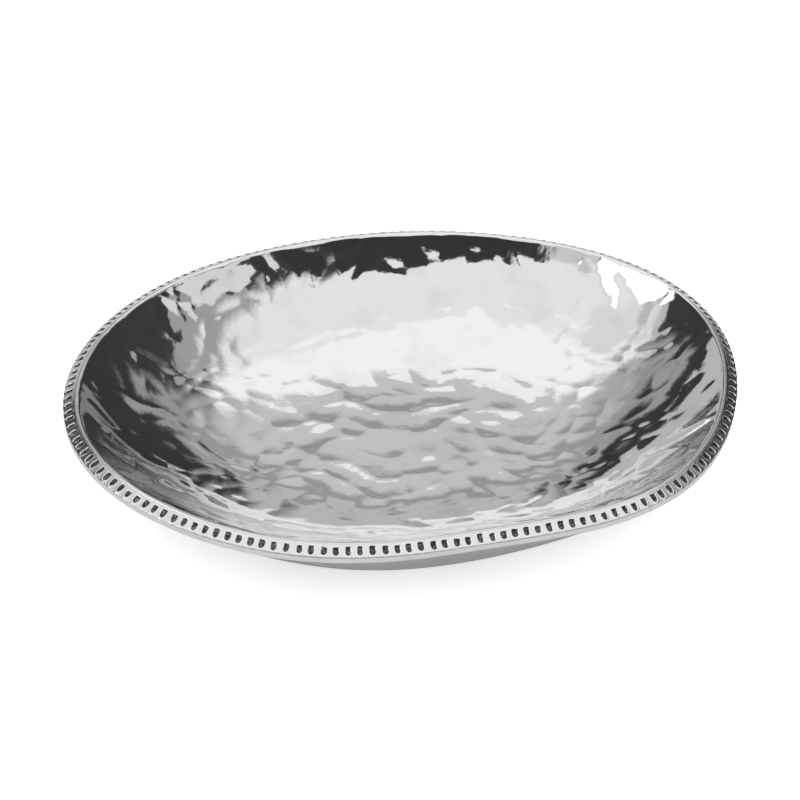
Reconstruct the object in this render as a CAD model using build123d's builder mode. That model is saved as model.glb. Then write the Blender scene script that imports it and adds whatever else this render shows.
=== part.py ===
from build123d import *
import os
from math import atan, cos, hypot, pi, radians, sin

# A double-walled oval dish in polished sheet metal. A hammered inner basin and a smooth outer shell
# meet at a deep rim: a notched border strip slopes from the basin's lip out to a plain upright hoop.
# Millimetres. +Z is up, Z = 0 is the table, +X is the long way, the origin is under the middle.

# ---------------------------------------------------------------- driving dimensions
height = 54.0              # table to the crest of the rim
mean_radius = 174.0        # of the rim's outer edge, in plan

# The hand-worked oval: each wave is (waves in one turn, share of the mean radius, angle of its peak).
rim_waves = [(2, 0.117, 0), (3, 0.004, -49), (4, 0.008, 26), (5, 0.008, 18), (6, 0.005, 8)]
base_waves = [(2, 0.045, 0)]      # the base is rounder than the rim
outline_points = 24               # that a spline passes through, round one outline

sheet = 1.2                # both walls
clearance = 0.05           # between pieces that are soldered to each other

border_width = 6.7         # plan width of the notched strip
border_drop = 3.4          # how far its outer edge lies below the crest
border_edge = 0.5          # height of its upright outer edge
border_thickness = 1.5     # from its face straight down to its underside
border_seat = 2.0          # width of the flat underneath that sits on the hoop and the collar
notch_count = 173
notch_length = 5.2
notch_width = 2.7
notch_depth = 0.6
punch_clear = 1.0          # the punch starts this far above the strip

hoop_setback = 0.3         # of the hoop's face behind the border's edge
hoop_thickness = 1.0
hoop_height = 3.5
hoop_joint_angle = -58     # where the hoop's two ends meet
hoop_joint_gap = 0.3
saw_length = 6.0           # of the cut that opens the hoop
wire_radius = 1.5          # stiffening wire inside the rim
wire_inset = 4.8
wire_drop = 4.1            # of the wire's middle below the crest

lip_radius = 2.5           # rounding where the basin turns over into its flat lip
lip_reach = 8.6            # plan distance from the rim's edge to the basin wall, were the lip sharp
floor_level = 7.0          # table to the top of the basin's floor

basin_base = 0.20          # plan size of the floor's flat middle, as a share of the rim
basin_power = 3.0          # how the basin wall steepens towards the rim
shell_base = 0.64          # plan size of the flat the dish stands on, as a share of the rim
shell_power = 1.43
shell_inset = 4.0          # of the shell wall's top behind the rim's edge
shell_shift = (-5.0, 3.5)  # the standing flat sits a little off the rim's middle
level_count = 8            # plan outlines that each wall is lofted through
past_rim = 1.035           # how far a cutting loft runs on past the rim

plug_radius = 5.0          # head of the plug that closes the hollow wall's vent
plug_head = 0.6
plug_shank_radius = 3.0
plug_recess = 0.1

os.makedirs("parts", exist_ok=True)

# ---------------------------------------------------------------- the outline, as a formula


def polar_radius(angle, waves):
    """Radius of a wavy oval at an angle in radians."""
    return mean_radius * (1 + sum(share * cos(n * (angle - radians(peak))) for n, share, peak in waves))


def rim_normal(angle):
    """Outward normal of the rim's outline in plan, as (x, y)."""
    r = polar_radius(angle, rim_waves)
    slope = -mean_radius * sum(n * share * sin(n * (angle - radians(peak))) for n, share, peak in rim_waves)
    x = r * cos(angle) + slope * sin(angle)
    y = r * sin(angle) - slope * cos(angle)
    return x / hypot(x, y), y / hypot(x, y)


turn = [2 * pi * i / outline_points for i in range(outline_points)]
fine_turn = [2 * pi * i / 720 for i in range(720)]
edge_x = [polar_radius(a, rim_waves) * cos(a) for a in fine_turn]
edge_y = [polar_radius(a, rim_waves) * sin(a) for a in fine_turn]
middle_x = (min(edge_x) + max(edge_x)) / 2
middle_y = (min(edge_y) + max(edge_y)) / 2


def rim_point(angle, inset):
    """A point of the rim's outline, moved inwards by inset."""
    r = polar_radius(angle, rim_waves)
    nx, ny = rim_normal(angle)
    return r * cos(angle) - middle_x - inset * nx, r * sin(angle) - middle_y - inset * ny


def rim_curve(inset):
    """The points of the rim's outline, moved inwards by inset."""
    return [rim_point(angle, inset) for angle in turn]


def wall_curve(rise, base_share, shift, inset, outwards):
    """One level of a wall: rise goes from 0 at its base to 1 at the rim, inset from the rim's edge."""
    points = []
    for angle in turn:
        base = base_share * polar_radius(angle, base_waves)
        base_x = base * cos(angle) + shift[0]
        base_y = base * sin(angle) + shift[1]
        top_x, top_y = rim_point(angle, inset)
        nx, ny = rim_normal(angle)
        x = base_x + rise * (top_x - base_x) + outwards * nx
        y = base_y + rise * (top_y - base_y) + outwards * ny
        points.append((x, y))
    return points


def wall_levels(base_share, shift, inset, base_level, rim_level, power, skin, last_rise):
    """(level, points) pairs up one face of a wall; skin moves the face off square to the wall, up and in."""
    run = (1 - base_share) * mean_radius - inset
    levels = []
    for i in range(level_count):
        rise = last_rise * i / (level_count - 1)
        slope = atan((rim_level - base_level) * power * rise ** (power - 1) / run)
        level = base_level + (rim_level - base_level) * rise ** power + skin * cos(slope)
        levels.append((level, wall_curve(rise, base_share, shift, inset, -skin * sin(slope))))
    return levels


# ---------------------------------------------------------------- hammered basin, with its flat lip
basin_wall = (basin_base, (0, 0), lip_reach, floor_level, height, basin_power)

with BuildPart() as hammered_basin:
    for level, points in wall_levels(*basin_wall, skin=-sheet, last_rise=1):
        with BuildSketch(Plane.XY.offset(level)):
            with BuildLine():
                Spline(*points, periodic=True)
            make_face()
    loft()
    with BuildSketch(Plane.XY.offset(height - sheet)):
        with BuildLine():
            Spline(*rim_curve(border_width + clearance), periodic=True)
        make_face()
    extrude(amount=sheet)
    for level, points in wall_levels(*basin_wall, skin=0, last_rise=past_rim):
        with BuildSketch(Plane.XY.offset(level)):
            with BuildLine():
                Spline(*points, periodic=True)
            make_face()
    loft(mode=Mode.SUBTRACT)
    lip = hammered_basin.edges().group_by(Axis.Z)[-1].sort_by(SortBy.LENGTH)[0]
    fillet(lip, radius=lip_radius)
hammered_basin.part.label = "hammered_basin"
export_step(hammered_basin.part, "parts/hammered_basin.step")

# ---------------------------------------------------------------- smooth outer shell, with its rim collar
hoop_foot = height - border_drop - border_edge - hoop_height
collar_inset = hoop_setback + hoop_thickness + clearance
collar_top = hoop_foot + hoop_height - clearance
shell_wall = (shell_base, shell_shift, shell_inset, 0, hoop_foot, shell_power)

with BuildPart() as outer_shell:
    for level, points in wall_levels(*shell_wall, skin=0, last_rise=1):
        with BuildSketch(Plane.XY.offset(level)):
            with BuildLine():
                Spline(*points, periodic=True)
            make_face()
    loft()
    with BuildSketch(Plane.XY.offset(hoop_foot)):
        with BuildLine():
            Spline(*rim_curve(collar_inset), periodic=True)
        make_face()
    extrude(amount=collar_top - hoop_foot)
    for level, points in wall_levels(*shell_wall, skin=sheet, last_rise=past_rim):
        with BuildSketch(Plane.XY.offset(level)):
            with BuildLine():
                Spline(*points, periodic=True)
            make_face()
    loft(mode=Mode.SUBTRACT)
    with BuildSketch(Plane.XY.offset(hoop_foot + sheet)):
        with BuildLine():
            Spline(*rim_curve(collar_inset + sheet), periodic=True)
        make_face()
    extrude(amount=height, mode=Mode.SUBTRACT)
    with BuildSketch(Plane.XY):
        Circle(plug_shank_radius + clearance)
    extrude(amount=2 * sheet, mode=Mode.SUBTRACT)
    with BuildSketch(Plane.XY):
        Circle(plug_radius + clearance)
    extrude(amount=plug_recess + plug_head + clearance, mode=Mode.SUBTRACT)
outer_shell.part.label = "outer_shell"
export_step(outer_shell.part, "parts/outer_shell.step")

# ---------------------------------------------------------------- plug in the hollow wall's vent
with BuildPart() as vent_plug:
    with BuildSketch(Plane.XY.offset(plug_recess)):
        Circle(plug_radius)
    extrude(amount=plug_head)
    with BuildSketch(Plane.XY.offset(plug_recess + plug_head)):
        Circle(plug_shank_radius)
    extrude(amount=sheet)
vent_plug.part.label = "vent_plug"
export_step(vent_plug.part, "parts/vent_plug.step")

# ---------------------------------------------------------------- notched border strip
border_foot = height - border_drop
notch_inset = border_width / 2
border_tilt = atan(border_drop / border_width)


def beyond(low_level, low_inset, high_level, high_inset):
    """The two ends of a slope, with the upper one run on so that the next cut trims it cleanly."""
    overshoot = 1.3
    end_level = low_level + overshoot * (high_level - low_level)
    end_inset = low_inset + overshoot * (high_inset - low_inset)
    return (low_level, low_inset), (end_level, end_inset)


with BuildLine() as notch_path:
    Spline(*rim_curve(notch_inset), periodic=True)

notch_planes = []
for i in range(notch_count):
    x, y, _ = notch_path.line @ ((i + 0.5) / notch_count)
    along = notch_path.line % ((i + 0.5) / notch_count)
    out = along.cross(Vector(0, 0, 1))
    up = Vector(0, 0, cos(border_tilt)) + out * sin(border_tilt)
    middle = Vector(x, y, height - border_drop / 2)
    notch_planes.append(Plane(middle + up * punch_clear, x_dir=along.cross(up), z_dir=up))

with BuildPart() as notched_border:
    with BuildSketch(Plane.XY.offset(border_foot - border_edge)):
        with BuildLine():
            Spline(*rim_curve(0), periodic=True)
        make_face()
    extrude(amount=border_edge)
    for level, inset in beyond(border_foot, 0, height, border_width):
        with BuildSketch(Plane.XY.offset(level)):
            with BuildLine():
                Spline(*rim_curve(inset), periodic=True)
            make_face()
    loft(ruled=True)
    for level, inset in beyond(border_foot - border_edge, border_seat, height - border_thickness, border_width):
        with BuildSketch(Plane.XY.offset(level)):
            with BuildLine():
                Spline(*rim_curve(inset), periodic=True)
            make_face()
    loft(ruled=True, mode=Mode.SUBTRACT)
    with BuildSketch(Plane.XY.offset(border_foot)):
        with BuildLine():
            Spline(*rim_curve(border_width), periodic=True)
        make_face()
    extrude(amount=height, mode=Mode.SUBTRACT)
    with BuildSketch(*notch_planes):
        SlotOverall(notch_length, notch_width)
    extrude(amount=-(punch_clear + notch_depth), mode=Mode.SUBTRACT)
notched_border.part.label = "notched_border"
export_step(notched_border.part, "parts/notched_border.step")

# ---------------------------------------------------------------- upright hoop, open at its butt joint
joint_x, joint_y = rim_point(radians(hoop_joint_angle), 0)

with BuildPart() as rim_hoop:
    with BuildSketch(Plane.XY.offset(hoop_foot)):
        with BuildLine():
            Spline(*rim_curve(hoop_setback), periodic=True)
        make_face()
        with BuildLine():
            Spline(*rim_curve(hoop_setback + hoop_thickness), periodic=True)
        make_face(mode=Mode.SUBTRACT)
        with Locations(Location((joint_x, joint_y), hoop_joint_angle)):
            Rectangle(saw_length, hoop_joint_gap, mode=Mode.SUBTRACT)
    extrude(amount=hoop_height - clearance)
rim_hoop.part.label = "rim_hoop"
export_step(rim_hoop.part, "parts/rim_hoop.step")

# ---------------------------------------------------------------- stiffening wire inside the rim
with BuildPart() as rim_wire:
    with BuildLine(Plane.XY.offset(height - wire_drop)) as wire_path:
        Spline(*rim_curve(wire_inset), periodic=True)
    with BuildSketch(Plane(wire_path.line @ 0, z_dir=wire_path.line % 0)):
        Circle(wire_radius)
    sweep()
rim_wire.part.label = "rim_wire"
export_step(rim_wire.part, "parts/rim_wire.step")
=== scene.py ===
from math import radians

import bpy
import numpy as np
from mathutils import Matrix, Vector


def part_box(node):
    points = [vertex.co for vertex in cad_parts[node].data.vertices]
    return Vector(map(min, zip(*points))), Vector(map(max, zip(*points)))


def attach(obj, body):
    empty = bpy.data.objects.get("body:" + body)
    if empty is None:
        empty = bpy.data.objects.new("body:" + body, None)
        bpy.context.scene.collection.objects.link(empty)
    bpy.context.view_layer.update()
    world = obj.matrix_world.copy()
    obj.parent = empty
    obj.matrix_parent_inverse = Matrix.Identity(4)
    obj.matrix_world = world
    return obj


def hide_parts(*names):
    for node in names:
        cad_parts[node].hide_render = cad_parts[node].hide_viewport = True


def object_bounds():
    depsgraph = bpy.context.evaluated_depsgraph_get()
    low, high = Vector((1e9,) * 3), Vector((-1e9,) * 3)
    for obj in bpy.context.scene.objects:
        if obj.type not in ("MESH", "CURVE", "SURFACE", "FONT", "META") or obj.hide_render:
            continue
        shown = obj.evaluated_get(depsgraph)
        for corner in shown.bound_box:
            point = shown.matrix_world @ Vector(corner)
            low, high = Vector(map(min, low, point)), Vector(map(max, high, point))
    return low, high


bl_info = {
    "name": "Hammered oval tray",
    "version": (1, 0, 0),
    "blender": (4, 5, 0),
    "location": "View3D > Sidebar > Tray",
    "description": "Builds a double-walled oval dish with a hammered inside and a notched rim",
    "category": "Object",
}

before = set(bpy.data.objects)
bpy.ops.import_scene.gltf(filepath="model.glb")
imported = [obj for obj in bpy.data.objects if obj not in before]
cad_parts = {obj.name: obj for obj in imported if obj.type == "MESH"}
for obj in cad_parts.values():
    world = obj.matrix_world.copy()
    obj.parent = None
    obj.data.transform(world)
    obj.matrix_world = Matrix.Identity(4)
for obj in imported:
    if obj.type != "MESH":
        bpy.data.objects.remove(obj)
CAD_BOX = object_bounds()
MM = 0.001

# The rim's hand-worked oval: (waves in one turn, share of the mean radius, degrees to its peak).
RIM_WAVES = ((2, 0.117, 0), (3, 0.004, -49), (4, 0.008, 26), (5, 0.008, 18), (6, 0.005, 8))
BASE_WAVES = ((2, 0.045, 0),)

SOLDER_GAP = 0.05 * MM              # room for the solder between two pieces
WALL_ANGLE = radians(46.8)          # of the basin wall where it meets the lip's rounding
WALL_SETBACK = 2.65 * MM            # from the border's inner edge to where the wall meets that rounding
SHELL_SHIFT = (-5.0 * MM, 3.5 * MM)     # of the foot of the belly from the rim's middle
VENT_RADIUS = 5.05 * MM             # of the vent's countersink, in the base
HOOP_JOINT_ANGLE = -58.0
HOOP_JOINT_GAP = 0.3 * MM
FLOOR_LEVEL = -0.2 * MM             # a hair under the dish, so that the two faces don't flicker

# Shares of the way from the basin's middle to the lip's edge at which its flat floor, its wall and the
# rounding of its lip end.
FLOOR_END, WALL_END, ROUNDING_END = 0.19, 0.955, 0.988
# Levels of the basin's underside, as shares of the wall's rise.
UNDERSIDE_RISES = (0.96, 0.9, 0.82, 0.74, 0.66, 0.57, 0.48, 0.38, 0.26, 0.13, 0.0)
# Seeded ripples of the basin: (number of waves, shortest, longest, seed). Two warp the rows of marks.
WARP_ALONG, WARP_ACROSS = (14, 45 * MM, 95 * MM, 31), (14, 45 * MM, 95 * MM, 32)
FINE_RIPPLE, BROAD_RIPPLE = (60, 13 * MM, 34 * MM, 11), (30, 45 * MM, 110 * MM, 5)
WARP, FINE_HEIGHT = 4.5 * MM, 0.07 * MM
LIP_SAG = 0.22 * MM                 # fall of the lip at its edge, where the border is soldered on

# The camera: heading, elevation and roll in degrees, and the focal length in mm of a 36 mm wide sensor.
CAMERA_HEADING, CAMERA_ELEVATION, CAMERA_ROLL = 18.98, 36.0, -2.782
CAMERA_LENS = 98.77
CAMERA_DISTANCE = 1.2239
CAMERA_TARGET = (-0.01087, -0.02151, 0.0506)


# ------------------------------------------------------------------ settings that can be changed
class TraySizes(bpy.types.PropertyGroup):
    """Sizes that the pieces are worked out from. They repeat the CAD part's, so the surfaces fit it."""

    def length(name, description, value):
        return bpy.props.FloatProperty(
            name=name, description=description, default=value * MM, unit="LENGTH", precision=5
        )

    mean_radius: length("Mean radius", "Of the rim's outer edge in plan", 174.0)
    sheet: length("Sheet", "Thickness of both walls", 1.2)
    border_width: length("Border width", "Plan width of the notched strip", 6.7)
    border_drop: length("Border drop", "Fall of the strip from the crest to its outer edge", 3.4)
    border_edge: length("Border edge", "Height of the strip's upright outer edge", 0.5)
    hoop_setback: length("Hoop setback", "Of the hoop's face behind the border's edge", 0.3)
    hoop_thickness: length("Hoop thickness", "Plan thickness of the hoop", 1.0)
    hoop_height: length("Hoop height", "Height of the hoop", 3.5)
    lip_radius: length("Lip radius", "Rounding where the basin turns over into its lip", 2.5)
    floor_level: length("Floor level", "Table to the top of the basin's floor", 7.0)
    shell_inset: length("Shell inset", "Of the shell wall's top behind the rim's edge", 4.0)
    facet: length("Facet", "Mean width of one hammer mark", 15.0)
    facet_radius: length("Facet radius", "Radius of the dish that one blow leaves", 175.0)


class TrayCounts(bpy.types.PropertyGroup):
    """Counts and shares."""

    notches: bpy.props.IntProperty(
        name="Notches", description="Notches round the rim", default=173, min=3
    )
    basin_cells: bpy.props.IntProperty(
        name="Basin cells", description="Grid cells across the basin", default=290, min=20
    )
    basin_base: bpy.props.FloatProperty(
        name="Basin base", description="Size of the flat middle as a share of the rim", default=0.20
    )
    basin_power: bpy.props.FloatProperty(
        name="Basin power", description="How the basin wall steepens towards the rim", default=3.0
    )
    shell_base: bpy.props.FloatProperty(
        name="Shell base", description="Size of the standing flat as a share of the rim", default=0.64
    )
    shell_power: bpy.props.FloatProperty(
        name="Shell power", description="How the shell wall steepens towards the rim", default=1.43
    )


class TrayColours(bpy.types.PropertyGroup):
    """Colours of the finishes."""

    def colour(name, description, value):
        return bpy.props.FloatVectorProperty(
            name=name, description=description, default=value, size=3, subtype="COLOR", min=0, max=1
        )

    mirror: colour("Mirror metal", "Polished silver-white metal", (0.90, 0.90, 0.895))
    haze: colour("Haze", "Polished metal under a film of handling haze", (0.78, 0.78, 0.775))
    # Near black: painted shade down in the border's notches, and soot from the brazing on the hidden
    # wire.
    soot_and_shade: colour("Soot and shade", "Painted shade down in the notches, and soot on the wire", (0.05, 0.05, 0.052))
    wire: colour("Wire", "Drawn wire that was never polished", (0.52, 0.51, 0.50))
    floor: colour("Floor", "Pale studio floor", (0.93, 0.93, 0.93))


def sizes():
    return bpy.context.scene.tray_sizes


def counts():
    return bpy.context.scene.tray_counts


def colours():
    return bpy.context.scene.tray_colours


# ------------------------------------------------------------------ plan curves
def polar_radius(angle, waves):
    """Mean radius times one plus a cosine wave for each entry of waves, at an angle in radians."""
    share = sum(amount * np.cos(n * (angle - radians(peak))) for n, amount, peak in waves)
    return sizes().mean_radius * (1 + share)


def rim_middle():
    """Middle of the rim outline's box, which stands over the frame's origin."""
    angle = np.linspace(0, 2 * np.pi, 721)
    r = polar_radius(angle, RIM_WAVES)
    x, y = r * np.cos(angle), r * np.sin(angle)
    return (x.min() + x.max()) / 2, (y.min() + y.max()) / 2


def rim_outline(angle):
    """The rim's outer edge and its outward normal, in plan. The normal is the turned derivative."""
    r = polar_radius(angle, RIM_WAVES)
    slope = -sizes().mean_radius * sum(
        n * amount * np.sin(n * (angle - radians(peak))) for n, amount, peak in RIM_WAVES
    )
    x, y = r * np.cos(angle), r * np.sin(angle)
    nx, ny = r * np.cos(angle) + slope * np.sin(angle), r * np.sin(angle) - slope * np.cos(angle)
    size = np.hypot(nx, ny)
    middle_x, middle_y = rim_middle()
    return x - middle_x, y - middle_y, nx / size, ny / size


def rim_point(angle, inset):
    """The rim's outer edge moved inwards by inset along its own normal."""
    x, y, nx, ny = rim_outline(angle)
    return x - inset * nx, y - inset * ny


def base_point(angle, share, shift=(0.0, 0.0)):
    """The rounder oval at the foot of a wall."""
    r = share * polar_radius(angle, BASE_WAVES)
    return r * np.cos(angle) + shift[0], r * np.sin(angle) + shift[1]


def even_angles(count, inset):
    """Angles of count points spaced evenly along the rim, and the rim's length.

    The running length is summed in short steps and then inverted by interpolation.
    """
    angle = np.linspace(0, 2 * np.pi, 20001)
    x, y = rim_point(angle, inset)
    run = np.concatenate([[0], np.cumsum(np.hypot(np.diff(x), np.diff(y)))])
    return np.interp((np.arange(count) / count) * run[-1], run, angle), run[-1]


def smooth(low, high, value):
    """0 below low, 1 above high, and an S-shaped cubic between."""
    t = np.clip((value - low) / (high - low), 0, 1)
    return t * t * (3 - 2 * t)


# ------------------------------------------------------------------ mesh building
def new_object(name, points, faces, material):
    """Puts points and arrays of faces, each array with its own number of corners, into a new mesh."""
    mesh = bpy.data.meshes.new(name)
    mesh.vertices.add(len(points))
    mesh.vertices.foreach_set("co", np.asarray(points, dtype=np.float32).ravel())
    sides = np.concatenate([np.full(len(f), f.shape[1]) for f in faces])
    corners = np.concatenate([f.ravel() for f in faces])
    mesh.loops.add(len(corners))
    mesh.loops.foreach_set("vertex_index", corners.astype(np.int32))
    mesh.polygons.add(len(sides))
    starts = np.concatenate([[0], np.cumsum(sides)[:-1]])
    mesh.polygons.foreach_set("loop_start", starts.astype(np.int32))
    mesh.polygons.foreach_set("use_smooth", np.ones(len(sides), dtype=bool))
    mesh.update(calc_edges=True)
    mesh.validate()
    mesh.materials.append(material)
    thing = bpy.data.objects.new(name, mesh)
    bpy.context.collection.objects.link(thing)
    return thing


def new_piece(name, points, faces, node, material):
    """Adds a piece of the dish, hides the CAD part of the node that it stands for, and hangs it on the
    root body.
    """
    piece = new_object(name, points, faces, material)
    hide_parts(node)
    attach(piece, "root")
    return piece


def tube_faces(rows, columns, closed_rows, closed_columns):
    """Quads of a grid of rows by columns, stored row by row, that may close on itself either way."""
    row = np.arange(rows if closed_rows else rows - 1)[:, None]
    column = np.arange(columns if closed_columns else columns - 1)[None, :]
    next_row, next_column = (row + 1) % rows, (column + 1) % columns
    corners = (row * columns + column, row * columns + next_column,
               next_row * columns + next_column, next_row * columns + column)
    return np.stack([c.ravel() for c in corners], axis=1)


# ------------------------------------------------------------------ hammer marks
def ripple(x, y, waves, shortest, longest, seed):
    """A sum of plane sine waves in seeded random directions, about 1 high. Longer waves are higher."""
    rng = np.random.default_rng(seed)
    total = np.zeros_like(x)
    for length, heading, phase in rng.random((waves, 3)):
        wavelength = shortest + length * (longest - shortest)
        heading, phase = 2 * np.pi * heading, 2 * np.pi * phase
        along = x * np.cos(heading) + y * np.sin(heading)
        total += (wavelength / longest) * np.sin(2 * np.pi * along / wavelength + phase)
    return total / np.sqrt(waves / 2)


def hammer_marks(x, y, spacing, dish_radius, seed):
    """The smooth lower envelope of shallow dishes, one for each blow.

    Blows fall on a jittered grid. Each dish is a paraboloid with its own depth and a slight tilt, and
    minus the logarithm of the sum of their exponentials takes the lowest with a soft ridge between.
    """
    cells, scatter, tilting, softness = 128, 1.1, 0.35, 0.09
    rng = np.random.default_rng(seed)
    jitter = rng.random((cells, cells, 2)) * scatter - scatter / 2
    depth = rng.normal(0, 0.20, (cells, cells))
    tilt = rng.normal(0, 0.45, (cells, cells, 2))
    u, v = x / spacing, y / spacing
    v_row = np.floor(v).astype(int)
    total = np.zeros_like(u)
    for row in range(-2, 3):
        stagger = 0.5 * ((v_row + row) % 2)
        u_column = np.floor(u - stagger).astype(int)
        for column in range(-2, 3):
            i, j = (u_column + column) % cells, (v_row + row) % cells
            du = u - stagger - (u_column + column) - 0.5 - jitter[i, j, 0]
            dv = v - (v_row + row) - 0.5 - jitter[i, j, 1]
            dish = du * du + dv * dv + depth[i, j] + tilting * (tilt[i, j, 0] * du + tilt[i, j, 1] * dv)
            total += np.exp(-dish / softness)
    return -softness * np.log(total) * spacing * spacing / (2 * dish_radius)


# ------------------------------------------------------------------ hammered basin
class TRAY_OT_hammered_basin(bpy.types.Operator):
    """The hammered inner wall with its turned-over lip"""

    bl_idname = "tray.hammered_basin"
    bl_label = "Hammered basin"

    def execute(self, context):
        s, c = sizes(), counts()
        height = CAD_BOX[1][2]
        lip_inset = s.border_width + SOLDER_GAP
        wall_inset = s.border_width + WALL_SETBACK
        wall_top = height - s.lip_radius * (1 - np.cos(WALL_ANGLE))
        lip_centre = (wall_inset - s.lip_radius * np.sin(WALL_ANGLE), height - s.lip_radius)

        # A square grid is bent round the oval, so that its visible face has no pole. q is a point's
        # share of the way from the middle (0) to the lip's edge (1).
        cells = c.basin_cells
        a, b = np.meshgrid(np.linspace(-1, 1, cells + 1), np.linspace(-1, 1, cells + 1))
        q = np.maximum(np.abs(a), np.abs(b))
        flat_a, flat_b = np.where(a == 0, 1, a), np.where(b == 0, 1, b)
        side = np.where(a < 0, np.pi, 0) + np.pi / 4 * b / flat_a
        top = np.where(b < 0, 1.5 * np.pi, 0.5 * np.pi) - np.pi / 4 * a / flat_b
        angle = np.where(np.abs(a) >= np.abs(b), side, top)
        face = self.surface(q, angle, wall_inset, wall_top, lip_centre)
        ring = np.concatenate([
            np.arange(cells), cells + (cells + 1) * np.arange(cells),
            (cells + 1) ** 2 - 1 - np.arange(cells), (cells + 1) * (cells - np.arange(cells)),
        ])
        ring_angle = angle.ravel()[ring]

        # The underside follows the wall one sheet lower, ring by ring, to a pole under the middle.
        under = [
            (*rim_point(ring_angle, inset), np.full(len(ring), height - s.sheet))
            for inset in (lip_inset, wall_inset - s.lip_radius / 2)
        ]
        for rise in UNDERSIDE_RISES:
            x, y, z, nx, ny, slope = self.wall(rise, ring_angle, wall_inset, wall_top)
            x, y = x + s.sheet * np.sin(slope) * nx, y + s.sheet * np.sin(slope) * ny
            under.append((x, y, z - s.sheet * np.cos(slope)))
        rings = np.concatenate([np.stack(r, axis=1) for r in under])
        pole = np.array([[0, 0, s.floor_level - s.sheet]])
        count = (cells + 1) ** 2
        grid = tube_faces(cells + 1, cells + 1, False, False)
        loops = np.concatenate([ring, count + np.arange(len(rings))])
        skirt = loops[tube_faces(len(under) + 1, len(ring), False, True)]
        last = loops[-len(ring):]
        fan = np.stack([last, np.full(len(ring), count + len(rings)), np.roll(last, -1)], axis=1)
        new_piece("basin_hammered", np.concatenate([face, rings, pole]), [grid, skirt[:, ::-1], fan],
                  "hammered_basin", hammered_metal())
        return {"FINISHED"}

    @staticmethod
    def wall(rise, angle, wall_inset, wall_top):
        """Inner face of the wall: plan from the base oval to the rim, level by a power of the rise."""
        s, c = sizes(), counts()
        base_x, base_y = base_point(angle, c.basin_base)
        x, y, nx, ny = rim_outline(angle)
        top_x, top_y = x - wall_inset * nx, y - wall_inset * ny
        x, y = base_x + rise * (top_x - base_x), base_y + rise * (top_y - base_y)
        depth = wall_top - s.floor_level
        z = s.floor_level + depth * rise ** c.basin_power
        run = (1 - c.basin_base) * s.mean_radius - wall_inset
        slope = np.arctan(depth * c.basin_power * np.maximum(rise, 1e-9) ** (c.basin_power - 1) / run)
        return x, y, z + 0 * x, nx, ny, slope

    def surface(self, q, angle, wall_inset, wall_top, lip_centre):
        """The visible face: floor, wall, rounding and flat lip, moved along its normal by the marks."""
        s, c = sizes(), counts()
        on_floor = np.clip(q / FLOOR_END, 0, 1)
        rise = np.clip((q - FLOOR_END) / (WALL_END - FLOOR_END), 0, 1)
        turned = np.clip((q - WALL_END) / (ROUNDING_END - WALL_END), 0, 1)
        flat = np.clip((q - ROUNDING_END) / (1 - ROUNDING_END), 0, 1)
        x, y, z, nx, ny, slope = self.wall(rise, angle, wall_inset, wall_top)
        base_x, base_y = base_point(angle, c.basin_base)
        in_floor = q < FLOOR_END
        x, y = np.where(in_floor, on_floor * base_x, x), np.where(in_floor, on_floor * base_y, y)

        # The lip turns over from the wall's lean to flat, and falls a little at its edge.
        lean = WALL_ANGLE * (1 - turned)
        lip_inset = lip_centre[0] + s.lip_radius * np.sin(lean)
        lip_level = lip_centre[1] + s.lip_radius * np.cos(lean)
        lip_inset = lip_inset + flat * (s.border_width + SOLDER_GAP - lip_centre[0])
        lip_level = lip_level - LIP_SAG * smooth(0.55, 1, flat)
        lip_x, lip_y = rim_point(angle, lip_inset)
        on_lip = q > WALL_END
        x, y = np.where(on_lip, lip_x, x), np.where(on_lip, lip_y, y)
        z = np.where(on_lip, lip_level, z)
        slope = np.where(on_lip, lean, np.where(in_floor, 0, slope))

        # Stretch the plan so that marks keep their size up the slope, and warp it so that no row of
        # them is straight.
        stretch = 1 + 0.16 * smooth(FLOOR_END, 1, q)
        u, v = (x - x.mean()) * stretch, (y - y.mean()) * stretch
        warp_u, warp_v = u + WARP * ripple(u, v, *WARP_ALONG), v + WARP * ripple(u, v, *WARP_ACROSS)
        marks = hammer_marks(warp_u, 1.12 * warp_v, s.facet, s.facet_radius, seed=7)
        relief = (0.9 + 0.1 * smooth(0.45, 0.95, rise)) * marks
        relief = relief + FINE_HEIGHT * ripple(u, v, *FINE_RIPPLE)
        relief = relief + (0.12 + 0.36 * smooth(0.5, 0.9, rise)) * MM * ripple(u, v, *BROAD_RIPPLE)
        relief = relief * (1 - smooth(WALL_END - 0.03, ROUNDING_END, q))
        x = x - relief * np.sin(slope) * nx
        y = y - relief * np.sin(slope) * ny
        z = z + relief * np.cos(slope)
        return np.stack([x.ravel(), y.ravel(), z.ravel()], axis=1)


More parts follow.
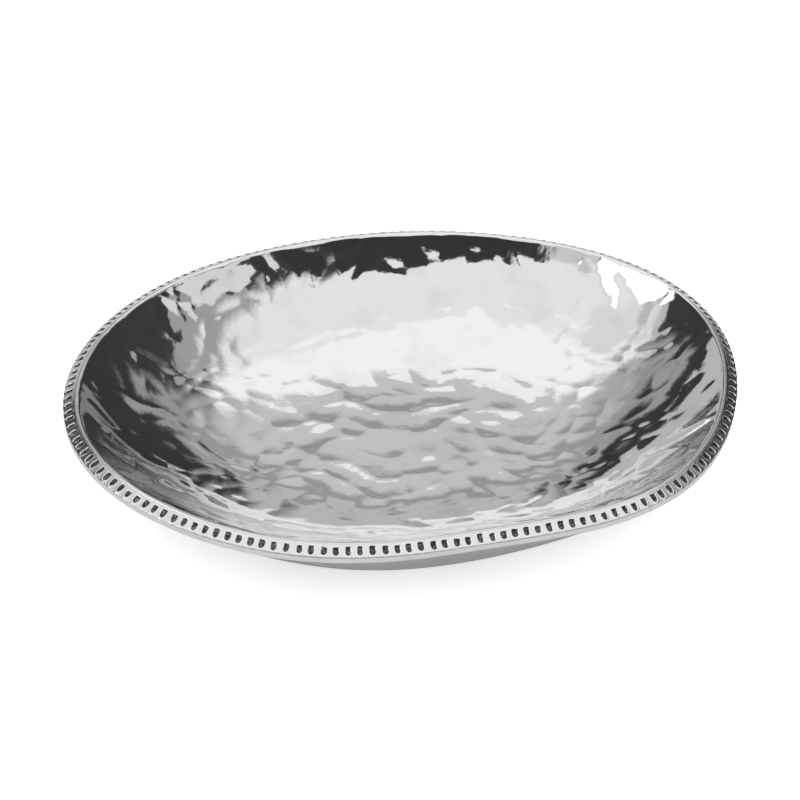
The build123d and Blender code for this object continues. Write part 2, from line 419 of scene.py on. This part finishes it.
# ------------------------------------------------------------------ smooth outer shell
class TRAY_OT_outer_shell(bpy.types.Operator):
    """The smooth outer wall: standing flat, belly, ledge under the rim, and collar inside the hoop"""

    bl_idname = "tray.outer_shell"
    bl_label = "Outer shell"

    def execute(self, context):
        s = sizes()
        columns = 720
        angle = np.arange(columns) * 2 * np.pi / columns
        foot = CAD_BOX[1][2] - s.border_drop - s.border_edge - s.hoop_height
        collar = s.hoop_setback + s.hoop_thickness + SOLDER_GAP
        collar_top = foot + s.hoop_height - 0.1 * MM
        inner, bore, recess, chamfer = collar + s.sheet, 3.05 * MM, 0.75 * MM, 0.3 * MM

        # Rows go from the vent out over the base, up the belly, under the ledge, over the collar, and
        # back down inside.
        rows = [self.disc(angle, bore, s.sheet), self.disc(angle, bore, recess),
                self.disc(angle, VENT_RADIUS, recess), self.disc(angle, VENT_RADIUS, 0.05 * MM)]
        rows += [self.flat(angle, share, 0.0) for share in np.linspace(0.06, 1, 14)]
        rows += [self.wall(angle, rise, foot, 0) for rise in np.linspace(0, 1, 34)[1:-1]]
        for inset, level in (
            (s.shell_inset, foot), (s.shell_inset - 0.8 * MM, foot + 0.1 * MM),
            (collar + 0.5 * MM, foot + 0.1 * MM), (collar, foot + 0.5 * MM),
            (collar, collar_top - chamfer), (collar + chamfer, collar_top),
            (inner - chamfer, collar_top), (inner, collar_top - chamfer), (inner, foot + 1.25 * s.sheet),
        ):
            rows.append(np.stack([*rim_point(angle, inset), np.full(columns, level)], axis=1))
        rows += [self.wall(angle, rise, foot, s.sheet) for rise in np.linspace(0.97, 0, 16)]
        rows += [self.flat(angle, share, s.sheet) for share in np.linspace(0.98, 0.06, 6)]
        new_piece("shell_smooth", np.concatenate(rows), [tube_faces(len(rows), columns, True, True)],
                  "outer_shell", shell_metal())
        return {"FINISHED"}

    @staticmethod
    def disc(angle, radius, level):
        """A circle about the vent in the middle of the base."""
        x, y = radius * np.cos(angle), radius * np.sin(angle)
        return np.stack([x, y, np.full(len(angle), level)], axis=1)

    @staticmethod
    def flat(angle, share, level):
        """A ring of the base: a circle near the vent that opens into the base oval."""
        base_x, base_y = base_point(angle, counts().shell_base, SHELL_SHIFT)
        rim = VENT_RADIUS + 0.25 * MM
        x = (1 - share) * rim * np.cos(angle) + share * base_x
        y = (1 - share) * rim * np.sin(angle) + share * base_y
        return np.stack([x, y, np.full(len(angle), level)], axis=1)

    @staticmethod
    def wall(angle, rise, foot, skin):
        """One level of the belly, its height a power of the rise, moved square to the wall by skin."""
        s, c = sizes(), counts()
        base_x, base_y = base_point(angle, c.shell_base, SHELL_SHIFT)
        x, y, nx, ny = rim_outline(angle)
        top_x, top_y = x - s.shell_inset * nx, y - s.shell_inset * ny
        run = (1 - c.shell_base) * s.mean_radius - s.shell_inset
        slope = np.arctan(foot * c.shell_power * max(rise, 1e-9) ** (c.shell_power - 1) / run)
        x = base_x + rise * (top_x - base_x) - skin * np.sin(slope) * nx
        y = base_y + rise * (top_y - base_y) - skin * np.sin(slope) * ny
        z = foot * rise ** c.shell_power + skin * np.cos(slope)
        return np.stack([x, y, z + 0 * x], axis=1)


# ------------------------------------------------------------------ notched border
class TRAY_OT_notched_border(bpy.types.Operator):
    """The sloping strip with its punched notches and the burrs that the punch raised"""

    bl_idname = "tray.notched_border"
    bl_label = "Notched border"

    SCALLOP_ROOM = 0.22 * MM        # how far the outer edge stands in, so that its scallops can move out
    # Sizes of a notch in mm, each with its spread: its two ends from the strip's outer edge, its half
    # width, its depth and the burr round it.
    START, REACH, HALF_WIDTH = (0.80, 0.10), (5.55, 0.28), (1.42, 0.10)
    DEPTH, BURR = (0.62, 0.10), (0.16, 0.04)

    def execute(self, context):
        s, c = sizes(), counts()
        per_notch = 18
        columns = c.notches * per_notch
        angle, rim_length = even_angles(columns, s.border_width / 2)
        pitch = rim_length / c.notches
        height = CAD_BOX[1][2]
        foot = height - s.border_drop
        slope_length = np.hypot(s.border_width, s.border_drop)
        tilt = np.arctan2(s.border_drop, s.border_width)

        # Rows go up the outer edge and the slope, over the crest, down the inner edge and underneath.
        along = np.concatenate([[0.12 * MM], np.linspace(0.30 * MM, slope_length - 0.35 * MM, 21)])
        slope_inset, slope_level = along * np.cos(tilt), foot + along * np.sin(tilt)
        start_inset = np.array([0.35, 0.05, 0.0, 0.02]) * MM
        start_level = foot - np.array([s.border_edge, s.border_edge - 0.05 * MM, 0.25 * MM, 0.04 * MM])
        end_inset = np.array([s.border_width - 0.12 * MM, s.border_width, s.border_width, 2.0 * MM])
        end_level = np.array([height - 0.10 * MM, height - 0.28 * MM, height - 1.5 * MM,
                              foot - s.border_edge])
        inset = np.concatenate([start_inset, slope_inset, end_inset])
        level = np.concatenate([start_level, slope_level, end_level])
        run = np.concatenate([-np.ones(4), along / slope_length, np.full(4, 2.0)])

        relief, mark, scallop = self.punch(run[:, None] * slope_length, columns, per_notch, pitch)
        on_slope = ((run > 0) & (run < 1))[:, None]
        raised = relief * on_slope
        w = inset[:, None] - raised * np.sin(tilt) + self.SCALLOP_ROOM - scallop * (run < 0.12)[:, None]
        z = level[:, None] + raised * np.cos(tilt)
        x, y, nx, ny = rim_outline(angle[None, :] + 0 * w)
        points = np.stack([x - w * nx, y - w * ny, z + 0 * x], axis=2).reshape(-1, 3)
        border = new_piece("border_notched", points, [tube_faces(len(inset), columns, True, True)],
                           "notched_border", notched_metal())
        layer = border.data.attributes.new("notch", "FLOAT", "POINT")
        layer.data.foreach_set("value", (mark * on_slope).astype(np.float32).ravel())
        return {"FINISHED"}

    def punch(self, along, columns, per_notch, pitch):
        """Height of the strip's face, how far inside a notch each point is, and the scallop of the edge.

        A notch is round at its outer end, where it is narrowest, and cut off square at its inner end.
        Its floor is a smooth step of the distance to that shape, and the burr is a bell curve just
        outside it.
        """
        rng = np.random.default_rng(23)
        shift, width, length, depth, lean, burr, reach = rng.normal(0, 1, (7, columns // per_notch))
        index = np.arange(columns) // per_notch

        def varied(size, draw):
            return (size[0] + size[1] * draw[index]) * MM

        across = ((np.arange(columns) % per_notch) / per_notch - 0.5) * pitch
        across = across - 0.22 * MM * shift[index]
        across = across[None, :] + 0.05 * lean[index] * (along - 3.5 * MM)
        start, half = varied(self.START, reach), varied(self.HALF_WIDTH, width)
        taper = half * (1 - 0.24 * smooth(3.4 * MM, 1.0 * MM, along))
        rounded = np.hypot(across, np.minimum(along - start - half, 0)) - taper
        distance = np.maximum(rounded, along - varied(self.REACH, length) - 0.12 * lean[index] * across)
        inside = smooth(0.12 * MM, -0.34 * MM, distance)
        deep = varied(self.DEPTH, np.clip(depth, -1.5, 1.5))
        deep = deep * (1 - 0.35 * smooth(2.5 * MM, 5.5 * MM, along))
        bead = varied(self.BURR, np.clip(burr, -1.5, 1.5))
        bead = bead * (1 - 0.75 * smooth(1.6 * MM, 4.2 * MM, along))
        ridge = bead * np.exp(-((distance - 0.30 * MM) / (0.26 * MM)) ** 2)
        scallop = 0.20 * MM * np.exp(-(across / (1.5 * MM)) ** 2)
        return ridge * (1 - inside) - deep * inside, inside, scallop


# ------------------------------------------------------------------ upright hoop
class TRAY_OT_rim_hoop(bpy.types.Operator):
    """The plain upright hoop under the border, open by a hair where its two ends meet"""

    bl_idname = "tray.rim_hoop"
    bl_label = "Rim hoop"

    def execute(self, context):
        s = sizes()
        columns, joint, gap = 900, radians(HOOP_JOINT_ANGLE), HOOP_JOINT_GAP / s.mean_radius
        angle = joint + np.linspace(gap / 2, 2 * np.pi - gap / 2, columns)
        top = CAD_BOX[1][2] - s.border_drop - s.border_edge - SOLDER_GAP
        foot = top - s.hoop_height + SOLDER_GAP
        # A rectangle with rounded corners, gone round from its upper outer corner.
        corner, steps = 0.28 * MM, 4
        quarter = np.linspace(0, np.pi / 2, steps)
        turn = np.concatenate([quarter + k * np.pi / 2 for k in range(4)])
        half_w, half_z = s.hoop_thickness / 2 - corner, (top - foot) / 2 - corner
        inset = np.repeat([half_w, -half_w, -half_w, half_w], steps) + corner * np.cos(turn)
        level = np.repeat([half_z, half_z, -half_z, -half_z], steps) + corner * np.sin(turn)
        middle = (top + foot) / 2
        inset, level = s.hoop_setback + s.hoop_thickness / 2 - inset, middle + level
        # Two more rows on each flat, close to its ends, keep its shading flat.
        profile = np.stack([inset, level])
        ends = np.arange(steps - 1, 4 * steps, steps)
        span = (np.roll(profile, -1, axis=1) - profile)[:, ends]
        extra = np.stack([profile[:, ends] + 0.06 * span, profile[:, ends] + 0.94 * span], axis=2)
        inset, level = np.insert(profile, np.repeat(ends + 1, 2), extra.reshape(2, -1), axis=1)
        sway = 0.06 * MM * np.sin(7 * angle + 1) + 0.05 * MM * np.sin(19 * angle + 2)
        w = inset[:, None] + sway[None, :]
        x, y, nx, ny = rim_outline(angle[None, :] + 0 * w)
        dip = 0.08 * MM * np.sin(11 * angle)[None, :] * (level < middle)[:, None]
        points = np.stack([x - w * nx, y - w * ny, level[:, None] + np.maximum(dip, 0) + 0 * x], axis=2)
        faces = tube_faces(len(inset), columns, True, False)
        start = np.arange(len(inset)) * columns
        caps = [start[None, :], (start + columns - 1)[None, ::-1]]
        new_piece("hoop_plain", points.reshape(-1, 3), [faces, *caps],
                  "rim_hoop", hoop_metal())
        return {"FINISHED"}


# ------------------------------------------------------------------ vent plug and hidden wire
class TRAY_OT_vent_plug(bpy.types.Operator):
    """The filed plug that closes the hollow wall's vent, and the finish of the hidden wire"""

    bl_idname = "tray.vent_plug"
    bl_label = "Vent plug and rim wire"

    def execute(self, context):
        low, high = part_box("vent_plug")
        head, shank, columns = (high[0] - low[0]) / 2, 3.0 * MM, 96
        angle = np.arange(columns) * 2 * np.pi / columns
        # Rows go from the filed face round the head's edge to its shoulder, and up the shank.
        shoulder = low[2] + 0.6 * MM
        radius = np.array([0.4, 0.8, 0.97, 1.0, 1.0]) * head
        level = low[2] + np.array([0.0, 0.01, 0.05, 0.12, 0.6]) * MM
        radius = np.concatenate([radius, [shank, shank, 0.9 * shank, 0.4 * shank]])
        level = np.concatenate([level, [shoulder, high[2] - 0.1 * MM, high[2], high[2]]])
        x = radius[:, None] * np.cos(angle)
        y = radius[:, None] * np.sin(angle)
        points = np.stack([x, y, level[:, None] + 0 * x], axis=2).reshape(-1, 3)
        poles = np.array([[0, 0, low[2]], [0, 0, high[2]]])
        faces = tube_faces(len(radius), columns, False, True)
        first = np.arange(columns)
        last = (len(radius) - 1) * columns + first
        fans = [np.stack([np.full(columns, len(points)), np.roll(first, -1), first], axis=1),
                np.stack([np.full(columns, len(points) + 1), last, np.roll(last, -1)], axis=1)]
        new_piece("plug_filed", np.concatenate([points, poles]), [faces, *fans],
                  "vent_plug", filed_metal())
        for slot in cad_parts["rim_wire"].material_slots:
            slot.material = drawn_metal()
        return {"FINISHED"}


# ------------------------------------------------------------------ shader building
class Value:
    """A number socket that arithmetic works on: each operator adds a Math node."""

    def __init__(self, tree, socket):
        self.tree, self.socket = tree, socket

    def maths(self, operation, *others):
        inputs = dict(enumerate((self, *others)))
        return self.tree.node("ShaderNodeMath", {"operation": operation}, inputs)

    def __add__(self, other):
        return self.maths("ADD", other)

    def __sub__(self, other):
        return self.maths("SUBTRACT", other)

    def __mul__(self, other):
        return self.maths("MULTIPLY", other)

    def __rsub__(self, other):
        return self.tree.node("ShaderNodeMath", {"operation": "SUBTRACT"}, {0: other, 1: self})

    __radd__ = __add__
    __rmul__ = __mul__

    def ramp(self, low, high):
        """0 at low, 1 at high, an S-shaped curve between, and flat outside."""
        return self.tree.node("ShaderNodeMapRange", {"interpolation_type": "SMOOTHSTEP"},
                              {"Value": self, "From Min": low, "From Max": high})

    def between(self, low, high, soft):
        """1 between low and high, fading to 0 over soft outside them."""
        return self.ramp(low - soft, low) * (1 - self.ramp(high, high + soft))


class Tree:
    """A node tree, and methods that add nodes to it."""

    def __init__(self, nodes, links):
        self.nodes, self.links = nodes, links
        self.nodes.clear()

    def node(self, kind, settings=None, inputs=None, output=0):
        """Adds a node with its settings, fills its inputs with values or links, and gives an output."""
        node = self.nodes.new(kind)
        for name, value in (settings or {}).items():
            setattr(node, name, value)
        for name, value in (inputs or {}).items():
            socket = node.inputs[name]
            if isinstance(value, Value):
                self.links.new(value.socket, socket)
            elif socket.type == "RGBA" and len(value) == 3:
                socket.default_value = (*value, 1)
            else:
                socket.default_value = value
        return Value(self, node.outputs[output]) if node.outputs else node

    def place(self):
        """The piece's own coordinates."""
        return self.node("ShaderNodeTexCoord", output="Object")

    def stretched(self, scale):
        """The piece's own coordinates, scaled along each axis."""
        return self.node("ShaderNodeMapping", inputs={"Vector": self.place(), "Scale": scale})

    def noise(self, vector, scale, detail=3.0):
        """Noise from about 0 to 1, at a scale in cycles a metre."""
        return self.node("ShaderNodeTexNoise", {"noise_dimensions": "3D"},
                         {"Vector": vector, "Scale": scale, "Detail": detail}, output="Fac")

    def blend(self, factor, first, second):
        """First colour where factor is 0, second where it is 1."""
        node = self.nodes.new("ShaderNodeMix")
        node.data_type = "RGBA"
        # An RGBA mix has its factor, first and second colour at these places, and its result at 2.
        for place, value in ((0, factor), (6, first), (7, second)):
            if isinstance(value, Value):
                self.links.new(value.socket, node.inputs[place])
            else:
                node.inputs[place].default_value = (*value, 1)
        return Value(self, node.outputs[2])

    def bump(self, height, distance, below=None):
        """A normal from a height, on top of the normal below it."""
        inputs = {"Height": height, "Distance": distance}
        if below is not None:
            inputs["Normal"] = below
        return self.node("ShaderNodeBump", inputs=inputs, output="Normal")


def new_material(name):
    """A material with an empty tree."""
    material = bpy.data.materials.new(name)
    material.use_nodes = True
    return material, Tree(material.node_tree.nodes, material.node_tree.links)


def metal_material(name, colour, roughness, normal):
    """A metal from three functions that build its colour, roughness and normal in its tree."""
    material, tree = new_material(name)
    shader = tree.node("ShaderNodeBsdfPrincipled", inputs={
        "Base Color": colour(tree), "Roughness": roughness(tree), "Normal": normal(tree),
        "Metallic": 1.0})
    tree.node("ShaderNodeOutputMaterial", inputs={"Surface": shader})
    return material


# ------------------------------------------------------------------ finishes
def patches(tree, scale, detail, low, high):
    """Soft patches: a noise, spread so that it is 0 at low and 1 at high."""
    return tree.noise(tree.place(), scale, detail).ramp(low, high)


def hazed(tree, scale, low, high):
    """The mirror metal's colour under a patchy film of handling haze."""
    c = colours()
    return tree.blend(patches(tree, scale, 4.0, low, high), tuple(c.mirror), tuple(c.haze))


def scratches(tree, scale):
    """Fine wiping scratches: a stretched noise, thinned to its crest."""
    return tree.noise(tree.stretched((1.0, 14.0, 4.0)), scale, detail=2.0).between(0.49, 0.51, 0.015)


def lines(tree, stretch, scale, height):
    """Normals of fine lines that run round the piece: a noise squeezed upwards."""
    return tree.bump(tree.noise(tree.stretched((1.0, 1.0, stretch)), scale, detail=2.0), height)


def hammered_metal():
    """Mirror-bright metal under a thin uneven haze, finely scratched by wiping."""
    def colour(tree):
        return hazed(tree, 45.0, 0.45, 0.85)

    def roughness(tree):
        return 0.035 + 0.05 * patches(tree, 60.0, 5.0, 0.40, 0.80) + 0.05 * scratches(tree, 900.0)

    def normal(tree):
        dents = tree.bump(tree.noise(tree.place(), 240.0, detail=1.0), 0.05 * MM)
        return tree.bump(tree.noise(tree.place(), 2600.0, detail=2.0), 0.004 * MM, below=dents)

    return metal_material("mirror hammered metal", colour, roughness, normal)


def notched_metal():
    """The same mirror metal, with painted shade down in the notches."""
    # Painted shade: the deeper in a notch, the darker, in patches; the same mask also roughens the metal
    # there.
    def notch_shade_mask(tree):
        depth = tree.node("ShaderNodeAttribute", {"attribute_name": "notch"}, output="Fac")
        patchy = 0.50 + 0.85 * tree.noise(tree.place(), 700.0)
        return (depth.ramp(0.12, 0.62) * patchy).maths("MINIMUM", 1.0)

    def colour(tree):
        return tree.blend(notch_shade_mask(tree), tuple(colours().mirror), tuple(colours().soot_and_shade))

    def roughness(tree):
        return 0.09 + 0.07 * patches(tree, 90.0, 4.0, 0.40, 0.80) + 0.35 * notch_shade_mask(tree)

    def normal(tree):
        return tree.bump(tree.noise(tree.place(), 900.0), 0.05 * MM)

    return metal_material("mirror notched metal", colour, roughness, normal)


def shell_metal():
    """Smooth polished metal with faint spinning lines and a little more haze."""
    def colour(tree):
        return hazed(tree, 30.0, 0.40, 0.85)

    def roughness(tree):
        return 0.09 + 0.08 * patches(tree, 35.0, 5.0, 0.35, 0.85) + 0.05 * scratches(tree, 700.0)

    def normal(tree):
        return lines(tree, 22.0, 160.0, 0.015 * MM)

    return metal_material("smooth polished metal", colour, roughness, normal)


def hoop_metal():
    """Polished strip with light draw marks along it."""
    def colour(tree):
        return hazed(tree, 80.0, 0.40, 0.85)

    def roughness(tree):
        return 0.10 + 0.10 * patches(tree, 120.0, 5.0, 0.30, 0.85)

    def normal(tree):
        return lines(tree, 14.0, 300.0, 0.02 * MM)

    return metal_material("drawn polished strip", colour, roughness, normal)


def filed_metal():
    """Metal filed flush: short parallel file cuts under a satin polish."""
    def cuts(tree):
        return tree.noise(tree.stretched((1.0, 30.0, 1.0)), 260.0, detail=2.0)

    def colour(tree):
        haze = tree.noise(tree.place(), 300.0)
        return tree.blend(haze, tuple(colours().haze), tuple(colours().mirror))

    def roughness(tree):
        return 0.24 + 0.20 * cuts(tree)

    def normal(tree):
        return tree.bump(cuts(tree), 0.03 * MM)

    return metal_material("filed metal", colour, roughness, normal)


def drawn_metal():
    """Dull drawn wire with fine die lines and soot from the brazing."""
    def colour(tree):
        soot = patches(tree, 110.0, 5.0, 0.45, 0.75)
        return tree.blend(soot, tuple(colours().wire), tuple(colours().soot_and_shade))

    def roughness(tree):
        return 0.32 + 0.25 * tree.noise(tree.place(), 220.0, detail=4.0)

    def normal(tree):
        return lines(tree, 20.0, 500.0, 0.02 * MM)

    return metal_material("drawn wire", colour, roughness, normal)


# ------------------------------------------------------------------ stage
class TRAY_OT_stage(bpy.types.Operator):
    """Pale floor, soft studio light and the camera"""

    bl_idname = "tray.stage"
    bl_label = "Stage"

    def execute(self, context):
        self.floor()
        self.studio()
        self.camera()
        return {"FINISHED"}

    @staticmethod
    def floor():
        """A wide disc: rings of growing radius about a pole."""
        columns = 96
        angle = np.arange(columns) * 2 * np.pi / columns
        radius = np.geomspace(0.05, 6.0, 24)
        points = np.stack([radius[:, None] * np.cos(angle), radius[:, None] * np.sin(angle),
                           np.full((len(radius), columns), FLOOR_LEVEL)], axis=2).reshape(-1, 3)
        rings = tube_faces(len(radius), columns, False, True)[:, ::-1]
        first = np.arange(columns)
        fan = np.stack([np.full(columns, len(points)), first, np.roll(first, -1)], axis=1)
        points = np.concatenate([points, [[0, 0, FLOOR_LEVEL]]])
        new_object("floor", points, [rings, fan], floor_paint())

    @staticmethod
    def studio():
        """Soft studio light, worked out by direction: see studio_light."""
        scene = bpy.context.scene
        scene.world = bpy.data.worlds.new("studio")
        scene.world.use_nodes = True
        studio_light(Tree(scene.world.node_tree.nodes, scene.world.node_tree.links))
        scene.view_settings.view_transform = "Standard"
        scene.view_settings.look = "None"

    @staticmethod
    def camera():
        """A camera set by heading, elevation, distance and roll about a target near the rim's middle."""
        data = bpy.data.cameras.new("camera")
        data.sensor_width = 36.0
        data.lens = CAMERA_LENS
        data.clip_start, data.clip_end = 0.05, 50.0
        camera = bpy.data.objects.new("camera", data)
        bpy.context.collection.objects.link(camera)
        heading, elevation = radians(CAMERA_HEADING), radians(CAMERA_ELEVATION)
        roll = radians(CAMERA_ROLL)
        ahead = Vector((np.sin(heading), np.cos(heading), 0))
        back = Vector((0, 0, np.sin(elevation))) - ahead * np.cos(elevation)
        right = Vector((np.cos(heading), -np.sin(heading), 0))
        up = back.cross(right)
        right, up = right * np.cos(roll) - up * np.sin(roll), right * np.sin(roll) + up * np.cos(roll)
        place = Vector(CAMERA_TARGET) + back * CAMERA_DISTANCE
        camera.matrix_world = Matrix((
            (right.x, up.x, back.x, place.x),
            (right.y, up.y, back.y, place.y),
            (right.z, up.z, back.z, place.z),
            (0, 0, 0, 1),
        ))
        bpy.context.scene.camera = camera


def floor_paint():
    """Matt pale paint with a very faint mottle, lit a little from within so that shadows stay soft.

    The metal mirrors a darker copy of it, painted shade, as if the floor ended near the dish.
    """
    pale = colours().floor
    material, tree = new_material("floor paint")
    mottle = tree.noise(tree.place(), 6.0, detail=4.0)
    tint = tree.blend(mottle, tuple(pale), tuple(0.985 * part for part in pale))
    mirrored = tree.node("ShaderNodeLightPath", output="Is Glossy Ray")
    # Painted shade: in mirrored rays the floor is darker and glows less.
    tint = tree.blend(mirrored, tint, tuple(0.46 * part for part in pale))
    glow = tree.blend(mirrored, (0.45, 0.45, 0.45), (0.10, 0.10, 0.10))
    shader = tree.node("ShaderNodeBsdfPrincipled", inputs={
        "Base Color": tint, "Roughness": 0.9, "Emission Color": glow, "Emission Strength": 1.0})
    tree.node("ShaderNodeOutputMaterial", inputs={"Surface": shader})
    return material


# Studio panels: lowest and highest edge, bearing of the middle, half width, softness in height, softness
# in bearing, and grey.
PANELS = (
    (-90.0, 7.0, 18.0, 22.0, 4.0, 10.0, 0.22),      # the lit backdrop, low down on the right
    (-90.0, 16.5, -32.0, 18.0, 2.5, 9.0, 0.50),     # and on the left
    (35.0, 46.0, -6.0, 24.0, 6.0, 24.0, 0.42),      # its wide upper part
    (-90.0, 25.0, 0.0, 2.5, 4.0, 8.0, 0.50),        # its middle, straight ahead
    (28.0, 46.0, 0.0, 4.0, 5.0, 24.0, 0.58),        # and the same higher up
    (30.0, 32.0, 0.0, 40.0, 4.5, 12.0, 0.33),       # a rail across it
    (38.0, 60.0, 72.0, 30.0, 0.8, 3.0, 0.36),       # the right side screen
    (40.0, 60.0, -64.0, 16.0, 1.5, 8.0, 0.50),      # the left side screen
    (57.0, 90.0, 0.0, 180.0, 9.0, 1.0, 0.84),       # the overhead light
    (48.5, 90.0, -8.0, 34.0, 8.0, 26.0, 0.97),      # its front edge, which reaches lower
    (52.0, 60.0, -62.0, 16.0, 6.0, 14.0, 0.74),     # its left edge
    (8.0, 58.0, 168.0, 36.0, 0.8, 2.0, 0.035),      # the dark room behind the camera
    (44.0, 53.0, -140.0, 12.0, 2.0, 6.0, 0.62),     # a grey card behind the left soft box
    (33.0, 53.0, -100.0, 21.0, 1.0, 2.0, 1.80),     # the left soft box
    (34.0, 46.0, 102.0, 17.0, 0.8, 2.0, 0.72),      # the right soft box
    (42.6, 46.0, -1.0, 4.5, 0.3, 1.5, 0.93),        # a slim light ahead
)


def studio_light(tree):
    """Light by direction, in degrees of height and of bearing from straight ahead of the camera.

    Over a dark room, each panel is painted on top of the ones before it: inside its soft-edged mask
    the level moves to the panel's grey. Mirrored light comes from this room; the camera sees plain
    white, and everything else is lit by an even white sky.
    """
    direction = tree.node("ShaderNodeTexCoord", output="Generated")
    turn = tree.node("ShaderNodeVectorRotate", {"rotation_type": "Z_AXIS"},
                     {"Vector": direction, "Angle": radians(CAMERA_HEADING)})
    x, y, z = (
        tree.node("ShaderNodeSeparateXYZ", inputs={"Vector": turn}, output=axis) for axis in "XYZ"
    )
    height = z.maths("ARCSINE") * (180 / np.pi)
    bearing = x.maths("ARCTAN2", y) * (180 / np.pi)
    level = 0.035 + 0.02 * height.ramp(0.0, 90.0)
    for low, high, middle, half_width, soft_height, soft_width, grey in PANELS:
        offset = (bearing - middle).maths("ABSOLUTE")
        offset = offset.maths("MINIMUM", 360 - offset)
        across = 1 - offset.ramp(half_width, half_width + soft_width)
        level = level + height.between(low, high, soft_height) * across * (grey - level)
    mirrored = tree.node("ShaderNodeLightPath", output="Is Glossy Ray")
    seen = tree.node("ShaderNodeLightPath", output="Is Camera Ray")
    sky = 1.35 + 0.10 * z
    light = (level * mirrored + sky * (1 - mirrored)) * (1 - seen) + seen
    background = tree.node("ShaderNodeBackground", inputs={"Color": (1.0, 1.0, 1.0), "Strength": light})
    tree.node("ShaderNodeOutputWorld", inputs={"Surface": background})


# ------------------------------------------------------------------ panel and registration
class TRAY_PT_builder(bpy.types.Panel):
    """Lists the pieces and the settings they are built from"""

    bl_idname = "TRAY_PT_builder"
    bl_label = "Hammered tray"
    bl_space_type = "VIEW_3D"
    bl_region_type = "UI"
    bl_category = "Tray"

    def draw(self, context):
        layout = self.layout
        for name in STEPS:
            layout.operator(f"tray.{name}")
        for group in (sizes(), counts(), colours()):
            for prop in group.__annotations__:
                layout.prop(group, prop)


CLASSES = (
    TraySizes, TrayCounts, TrayColours, TRAY_OT_hammered_basin, TRAY_OT_outer_shell,
    TRAY_OT_notched_border, TRAY_OT_rim_hoop, TRAY_OT_vent_plug, TRAY_OT_stage, TRAY_PT_builder,
)
STEPS = ("hammered_basin", "outer_shell", "notched_border", "rim_hoop", "vent_plug", "stage")


def register():
    for cls in CLASSES:
        bpy.utils.register_class(cls)
    bpy.types.Scene.tray_sizes = bpy.props.PointerProperty(type=TraySizes)
    bpy.types.Scene.tray_counts = bpy.props.PointerProperty(type=TrayCounts)
    bpy.types.Scene.tray_colours = bpy.props.PointerProperty(type=TrayColours)


def unregister():
    for name in ("tray_sizes", "tray_counts", "tray_colours"):
        delattr(bpy.types.Scene, name)
    for cls in reversed(CLASSES):
        bpy.utils.unregister_class(cls)


def main():
    register()
    for name in STEPS:
        getattr(bpy.ops.tray, name)()


if __name__ == "__main__":
    main()
